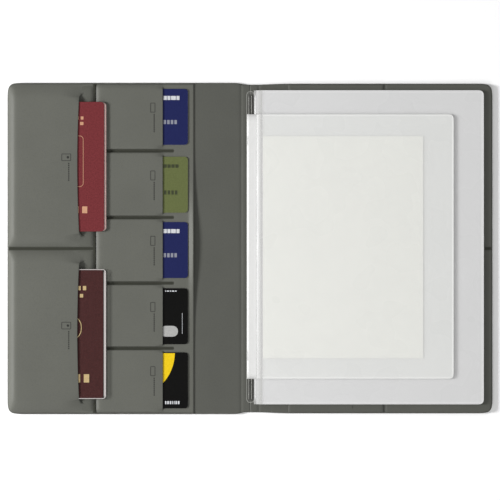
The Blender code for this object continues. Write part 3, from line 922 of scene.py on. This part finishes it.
def bar_row(made, x, y, widths, height, gap=0.7 * MM):
    """A row of short bars, from x to the right, where real print would have a word."""
    for width in widths:
        stamp(made, x + width / 2, y, width, height, 0.25 * MM)
        x += width + gap


def marks_piece(name, made, finish, slot, level, body):
    """Lifts flat marks to their surface, which level gives at x and y, and gives them a little body."""
    for vert in made.verts:
        vert.co.z = level(vert.co.x, vert.co.y) + MARK_WALL
    piece = finish_piece(name, made, finish, slot, MARK_WALL, levels=0)
    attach(piece, body)
    return piece


# %% Gilding on the passports
def gild(number, finish, slot):
    low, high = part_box(f"passport_{number}_cover")
    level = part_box(f"passport_{number}_jacket")[1].z if number == 2 else high.z
    middle_x, middle_y = (low.x + high.x) / 2, (low.y + high.y) / 2
    made = bmesh.new()
    if number == 1:
        stamp(made, middle_x, middle_y + 5.2 * MM, 46.2 * MM, 49.3 * MM, 3.5 * MM, 0.45 * MM)
        stamp(made, middle_x, middle_y + 5.2 * MM, 20 * MM, 20 * MM, 9.9 * MM, 0.8 * MM)
        stamp(made, middle_x, middle_y + 5.2 * MM, 9 * MM, 9 * MM, 2 * MM, 0.8 * MM)
        rows = ((46.9, 3.0, 46.2, 11), (41.6, 3.0, 46.2, 9), (-41.6, 6.5, 53.6, 7))
    else:
        for turn in range(3):
            size = (24 - 7 * turn) * MM
            stamp(made, middle_x, middle_y + 6 * MM, size * 1.8, size, size * 0.45, 0.7 * MM)
        rows = ((44.3, 4.2, 52.0, 10), (37.0, 3.4, 46.2, 9), (-42.7, 8.0, 57.8, 7))
    for offset, height, length, count in rows:
        pitch = length * MM / (count - 0.4)
        widths = [pitch * 0.6] * count
        bar_row(made, middle_x - length * MM / 2, middle_y + offset * MM, widths, height * MM, pitch * 0.4)
    name, body = f"passport_{number}_gilding", f"passport_{number}"
    return marks_piece(name, made, finish, slot, lambda x, y: level, body)


gild(1, pale_foil, "passport_red")
gild(2, gold_foil, "passport_brown")

# %% [markdown]
# ## The cards
# Each card keeps its solid from the design model, because its shape is right. Its print is a few flat
# shapes on top: bars for a name, small blocks for raised numbers, and plain colour fields.

# %% Card faces
CARD_TOP = CARDS[0][1].z
CARD_RIGHT = CARDS[0][1].x
CARD_FINISHES = (blue_card, green_card, blue_card, black_card, black_card)
CARD_SLOTS = ("card_blue", "card_green", "card_blue", "card_black", "card_black")
for number, (finish, slot_name) in enumerate(zip(CARD_FINISHES, CARD_SLOTS), start=1):
    dress(f"card_{number}", finish, slot_name)


def card_print(number, label, finish, draw):
    made = bmesh.new()
    draw(made, CARD_RIGHT, CARD_MIDDLES[number - 1])
    name, slot = f"card_{number}_{label}", CARD_SLOTS[number - 1]
    return marks_piece(name, made, finish, slot, lambda x, y: CARD_TOP, f"card_{number}")


def rows(*lines):
    """A drawing of rows of bars. A row is x left of the card's right edge, y, widths, height, gap."""

    def draw(made, right, middle):
        for x, y, widths, height, gap in lines:
            sizes = [width * MM for width in widths]
            bar_row(made, right - x * MM, middle + y * MM, sizes, height * MM, gap * MM)

    return draw


def raised_numbers(x, y):
    """Four groups of four blocks, from the group at x to the left."""
    return rows(*[(x + 19 * group, y, (2.4,) * 4, 4.0, 1.1) for group in range(4)])


def silver_spot(made, right, middle):
    stamp(made, right - 18 * MM, middle - 14.5 * MM, 17 * MM, 10.5 * MM, 5.2 * MM)


for number in (1, 3):
    card_print(number, "print", white_print, rows((26.5, 18.3, (2.2, 3.4, 2.9, 4.6, 2.9), 3.9, 0.6)))
    card_print(number, "numbers", grey_print, raised_numbers(23.5, -5))
card_print(2, "print", dark_print, rows((23.5, 18, (3.1,) * 4, 3.3, 0.7)))
card_print(2, "numbers", dark_print, raised_numbers(23, -7.5))
small_row = (22, 24.3, (0.9, 2.2, 1.2, 2.6, 1.4), 1.1, 0.7)
thin_line = (5.6, -7, (0.35,), 20, 0.7)
card_print(4, "print", white_print, rows(small_row, thin_line))
card_print(4, "hologram", silver_print, silver_spot)
low_row = (22, -21.5, (1.3, 1.6, 1.5, 0.8, 0.8, 1.5, 1.6), 3.0, 0.8)
card_print(5, "numbers", white_print, rows(low_row))

# %% The yellow field of the last card
FIELD_RADIUS = 44.2 * MM


def yellow_field(made, right, middle):
    """The part of a large rounded rectangle that lies on the card: its corner is the curve."""
    width, height = 150 * MM, 100 * MM
    x, y = right - 12.6 * MM - width / 2, middle + 27 * MM - FIELD_RADIUS + height / 2
    stamp(made, x, y, width, height, FIELD_RADIUS, segments=60)
    limits = (
        ((right - 82 * MM, 0, 0), (-1, 0, 0)),
        ((0, middle + 26.2 * MM, 0), (0, 1, 0)),
        ((0, middle - 26 * MM, 0), (0, -1, 0)),
    )
    for place, outward in limits:
        geometry = made.verts[:] + made.edges[:] + made.faces[:]
        bmesh.ops.bisect_plane(
            made, geom=geometry, plane_co=place, plane_no=outward, clear_outer=True, dist=1e-7
        )


card_print(5, "field", yellow_print, yellow_field)

# %% [markdown]
# ## Pictograms in the leatherette
# A small outline of a passport or a card is pressed in beside each pocket, with a caption bar. Each is
# drawn as a dark mark lying on the surface: painted shade of the pressed lines. The surface is curved, so
# the height of each mark is read from the finished panel.

# %% Pressed marks
def pressed_marks(name, panel, spots, draw):
    tree = BVHTree.FromObject(panel, bpy.context.evaluated_depsgraph_get())

    def level(x, y):
        return tree.ray_cast(Vector((x, y, 0.1)), Vector((0, 0, -1)))[0].z - 0.015 * MM

    for number, (x, y) in enumerate(spots, start=1):
        made = bmesh.new()
        draw(made, x, y)
        marks_piece(f"{name}_{number}", made, pictogram_shade_ink, "panel_leather", level, "left_cover")


def passport_mark(made, x, y):
    stamp(made, x, y, 9.2 * MM, 7.0 * MM, 0.8 * MM, 0.55 * MM)
    stamp(made, x + 1.6 * MM, y, 2.4 * MM, 2.4 * MM, 1.2 * MM)


def caption_mark(made, x, y):
    for step in range(9):
        stamp(made, x, y - step * 2.0 * MM, 1.1 * MM, 1.4 * MM, 0.2 * MM)


def card_mark(made, x, y):
    stamp(made, x, y, 4.7 * MM, 9.3 * MM, 0.6 * MM, 0.55 * MM)


def below(spots, right, down):
    """The places of the captions of marks at those spots."""
    return [(x + right * MM, y - down * MM) for x, y in spots]


passport_spots = [(-177.1 * MM, y * MM) for y in (87.9, -74.3)]
pressed_marks("passport_mark", passport_panel, passport_spots, passport_mark)
pressed_marks("passport_caption", passport_panel, below(passport_spots, 2.4, 6), caption_mark)
card_spots = [(-93.8 * MM, middle + 8.9 * MM) for middle in CARD_MIDDLES]
pressed_marks("card_mark", card_panel, card_spots, card_mark)
pressed_marks("card_caption", card_panel, below(card_spots, 1.3, 7), caption_mark)

# %% [markdown]
# ## The clear sleeves
# A sleeve is two films welded round the edge. The weld is a fine pressed line just inside the edge, and
# the film is a little fuller inside it. Each sleeve turns like a page. Its neck, the strip beside the
# spine, is a piece of its own that rises from the binding to the page.

# %% One sleeve
SLEEVE_CORNER = 4.5 * MM
NECK_START = 6.2 * MM
SLEEVE_WALL = 0.62 * MM
SLEEVE_GRID = 14 * MM


def sleeve_box(name):
    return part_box(f"{name}_back")[0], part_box(f"{name}_front")[1]


def edge_weld(low, high, x, y, distance):
    """1 on the weld line that far inside the sleeve's three outer edges."""
    to_edge = min(high.x - x, high.y - y, y - low.y)
    return 1 - smooth(abs(to_edge - distance) / (0.6 * MM))


def sleeve(name, finish, slot, weld_in):
    low, high = sleeve_box(name)
    weld = weld_in / MM
    lines = (0.3, weld - 0.6, weld, weld + 0.6, 4.5, 7)
    x_marks = [high.x - d * MM for d in lines] + [low.x + 0.15 * MM, low.x + 1 * MM]
    x_lines = places(low.x, high.x, SLEEVE_GRID, x_marks)
    y_lines = places(low.y, high.y, SLEEVE_GRID, inside(low.y, high.y, *lines))
    made = flat_sheet(x_lines, y_lines)
    round_corners(made, (low.x, high.x), (low.y, high.y), SLEEVE_CORNER, RIGHT_CORNERS)

    def height(x, y, beside):
        fall = 0.10 * MM * edge_weld(low, high, x, y, weld_in)
        wave = 0.035 * MM * math.sin(x / (31 * MM) + low.z / MM) * math.sin(y / (47 * MM))
        return high.z - 0.04 * MM - fall + wave

    shape_sheet(made, height, lambda x, y: edge_weld(low, high, x, y, weld_in))
    piece = finish_piece(f"{name}_page", made, finish, slot, SLEEVE_WALL)
    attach(piece, name)
    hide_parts(f"{name}_back", f"{name}_front")
    return piece


def neck(name, finish, slot, root_z):
    """The strip of a sleeve beside the spine, rising from the binding's height to the page."""
    low, high = sleeve_box(name)
    x_lines = places(NECK_START, low.x, 0.8 * MM, inside(NECK_START, low.x, 0.1))
    made = flat_sheet(x_lines, places(low.y, high.y, SLEEVE_GRID, inside(low.y, high.y, 0.1)))
    top = high.z - 0.04 * MM

    def height(x, y, beside):
        along = (x - NECK_START) / (low.x - NECK_START)
        return mix(root_z, top, 1 - (1 - along) ** 1.25)

    shape_sheet(made, height)
    piece = finish_piece(f"{name}_neck", made, finish, slot, SLEEVE_WALL / 2)
    start, end = (NECK_START, 0, 0), (low.x - 0.3 * MM, 0, 0)
    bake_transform(piece)
    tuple(start)
    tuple(end)
    return piece


# %% All five sleeves
LARGE = ["a4_sleeve_1", "a4_sleeve_2", "a4_sleeve_3"]
SMALL = ["small_sleeve_1", "small_sleeve_2"]
BLOCKS = (
    (LARGE, a4_film, large_neck_film, "clear_film", 1.9, 4.75, 0.15),
    (SMALL, small_film, small_neck_film, "small_film", 1.3, 6.2, 0.35),
)
for names, page_film, neck_film, slot, weld_in, root_z, root_gap in BLOCKS:
    for step, name in enumerate(names):
        sleeve(name, page_film, slot, weld_in * MM)
        neck(name, neck_film, slot, (root_z + root_gap * step) * MM)
print("sleeves:", LARGE + SMALL)

# %% [markdown]
# ## The paper in the top sleeve
# A sheet of cream paper lies inside the top small sleeve. The haze of the film hides its edge, and only
# a warmer tone shows where it lies.

# %% The paper sheet
def paper():
    low, high = sleeve_box("small_sleeve_2")
    left, right = low.x + 0.2 * MM, low.x + 155.2 * MM
    bottom, top = -106 * MM, 108.5 * MM
    x_lines = places(left, right, 20 * MM, inside(left, right, 0.2))
    y_lines = places(bottom, top, 20 * MM, inside(bottom, top, 0.2))
    made = flat_sheet(x_lines, y_lines)
    shape_sheet(made, lambda x, y, beside: high.z - 0.28 * MM)
    piece = finish_piece("paper_in_sleeve", made, insert_paper, "paper", 0.12 * MM)
    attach(piece, "small_sleeve_2")
    return piece


paper()

# %% [markdown]
# ## The binding
# A long loop of round steel wire lies on a clear strip along the spine. Two keepers hold it down, and
# the small block's film folds over it from the left. That fold and the root of the large block lead up
# from the spine to the sleeves.

# %% The wire
WIRE_LOW, WIRE_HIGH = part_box("binding_wire")


def wire():
    radius = (WIRE_HIGH.z - WIRE_LOW.z) / 2
    bend = (WIRE_HIGH.x - WIRE_LOW.x) / 2 - radius
    middle = (WIRE_LOW.x + WIRE_HIGH.x) / 2
    ends = (WIRE_HIGH.y - radius - bend, WIRE_LOW.y + radius + bend)
    shape = bpy.data.curves.new("binding_loop", "CURVE")
    shape.dimensions = "3D"
    shape.bevel_depth, shape.bevel_resolution = radius, 5
    line = shape.splines.new("POLY")
    angles = [math.pi * n / 16 for n in range(17)]
    points = [(middle + bend * math.cos(a), ends[0] + bend * math.sin(a)) for a in angles]
    points += [(middle - bend * math.cos(a), ends[1] - bend * math.sin(a)) for a in angles]
    line.points.add(len(points) - 1)
    for point, (x, y) in zip(line.points, points):
        point.co = (x, y, (WIRE_LOW.z + WIRE_HIGH.z) / 2, 1.0)
    line.use_cyclic_u = True
    shape.materials.append(steel)
    loop = bpy.data.objects.new("binding_loop", shape)
    bpy.context.collection.objects.link(loop)
    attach(loop, "spine")
    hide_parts("binding_wire")
    return loop


wire()
for name in ("lower_wire_keeper", "upper_wire_keeper"):
    dress(name, steel, "steel")
strip_low, strip_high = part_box("clear_spine_strip")
dress("clear_spine_strip", strip_film, "clear_film")
dress("sleeve_weld_strip", a4_film, "clear_film")
strip_middle = (strip_low + strip_high) / 2
strip_size = strip_high - strip_low
# A light outline just inside the clear strip's edge: a painted highlight of the film's edge.
made = bmesh.new()
stamp(made, strip_middle.x, strip_middle.y, strip_size.x, strip_size.y, strip_size.x * 0.49, 0.5 * MM)
marks_piece("spine_strip_painted_highlight", made, strip_edge_highlight, "clear_film", lambda x, y: strip_high.z, "spine")

# %% The roots of the two blocks
FOLD_LOW, FOLD_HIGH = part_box("small_sleeve_fold")
STRIP_ROOT_X = 3.6 * MM
ROOT_WALL = 0.25 * MM


def root(name, x_lines, ends, finish, slot, profile):
    """A strip of film from the spine to the sleeves. profile gives its height at x."""
    made = flat_sheet(x_lines, places(ends[0].y, ends[1].y, SLEEVE_GRID))
    shape_sheet(made, lambda x, y, beside: profile(x))
    piece = finish_piece(name, made, finish, slot, ROOT_WALL)
    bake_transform(piece)
    return piece


def fold_profile(x):
    """Up round the wire from the left, then level, then up to the sleeves."""
    over = FOLD_HIGH.z - 0.1 * MM
    u = min(1.0, (x - FOLD_LOW.x) / (2.2 * MM))
    round_over = mix(FOLD_LOW.z, over, math.sqrt(max(0.0, 1 - (1 - u) ** 2)))
    return round_over + 0.5 * MM * smooth((x + 1.2 * MM) / (NECK_START + 1.2 * MM))


def strip_profile(x):
    """From the clear strip up to the necks of the large sleeves."""
    return mix(3.9 * MM, 5.05 * MM, smooth((x - STRIP_ROOT_X) / (NECK_START - STRIP_ROOT_X)))


fold_steps = (0, 0.08, 0.3, 0.7, 1.3, 2.2, 3.4, 4.6, 5.6, 6.4, 7.2, 7.8, 8.4)
fold_x = [FOLD_LOW.x + step * MM for step in fold_steps] + [NECK_START - 0.1 * MM, NECK_START]
fold_ends = (FOLD_LOW, FOLD_HIGH)
fold = root("small_sleeve_root", fold_x, fold_ends, fold_film, "small_film", fold_profile)
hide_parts("small_sleeve_fold")
strip_x = places(STRIP_ROOT_X, NECK_START, 0.5 * MM, inside(STRIP_ROOT_X, NECK_START, 0.1))
strip_ends = sleeve_box("a4_sleeve_3")
root("a4_sleeve_root", strip_x, strip_ends, large_neck_film, "clear_film", strip_profile)

# %% [markdown]
# ## Floor, light and camera
# The folder lies on a plain white surface under soft studio light. A large lamp stands at the upper
# left, so raised edges throw short soft shadows to the right. The camera looks straight down.

# %% Floor
WHITE_FLOOR = plain("white_floor", (0.93, 0.93, 0.93), 0.95, size=0.2, spread=0.01)
floor_work = bmesh.new()
bmesh.ops.create_grid(floor_work, x_segments=1, y_segments=1, size=4.0)
bmesh.ops.translate(floor_work, vec=(0, 0, -0.2 * MM), verts=floor_work.verts)
floor_mesh = bpy.data.meshes.new("stand_floor")
floor_work.to_mesh(floor_mesh)
floor_work.free()
floor_mesh.materials.append(WHITE_FLOOR)
floor = bpy.data.objects.new("stand_floor", floor_mesh)
bpy.context.collection.objects.link(floor)

# %% Lamps and sky
world = bpy.data.worlds.new("soft_sky")
world.use_nodes = True
world.node_tree.nodes["Background"].inputs["Color"].default_value = (1.0, 1.0, 1.0, 1.0)
world.node_tree.nodes["Background"].inputs["Strength"].default_value = 0.14
bpy.context.scene.world = world


def lamp(name, place, size, watts):
    light = bpy.data.lights.new(name, "AREA")
    light.size, light.energy = size, watts
    made = bpy.data.objects.new(name, light)
    made.location = place
    made.rotation_euler = (-Vector(place)).to_track_quat("-Z", "Y").to_euler()
    bpy.context.collection.objects.link(made)
    return made


lamp("key_lamp", (-1.9, 0.05, 1.0), 0.5, 66)
lamp("upper_fill", (0.9, 1.6, 1.5), 1.2, 8)
lamp("right_fill", (1.7, -0.3, 1.4), 1.2, 15)
lamp("lower_fill", (-0.6, -1.7, 1.5), 1.2, 15)

# %% Camera
VIEW_WIDTH = 483.75 * MM
DISTANCE = 2.5
eye = bpy.data.cameras.new("camera")
eye.sensor_width = 36.0
eye.lens = eye.sensor_width * DISTANCE / VIEW_WIDTH
eye.clip_end = 20.0
camera = bpy.data.objects.new("camera", eye)
camera.location = (0.0, -1.45 * MM, DISTANCE)
bpy.context.collection.objects.link(camera)
bpy.context.scene.camera = camera
bpy.context.scene.view_settings.view_transform = "Standard"
print("lens", round(eye.lens, 1))
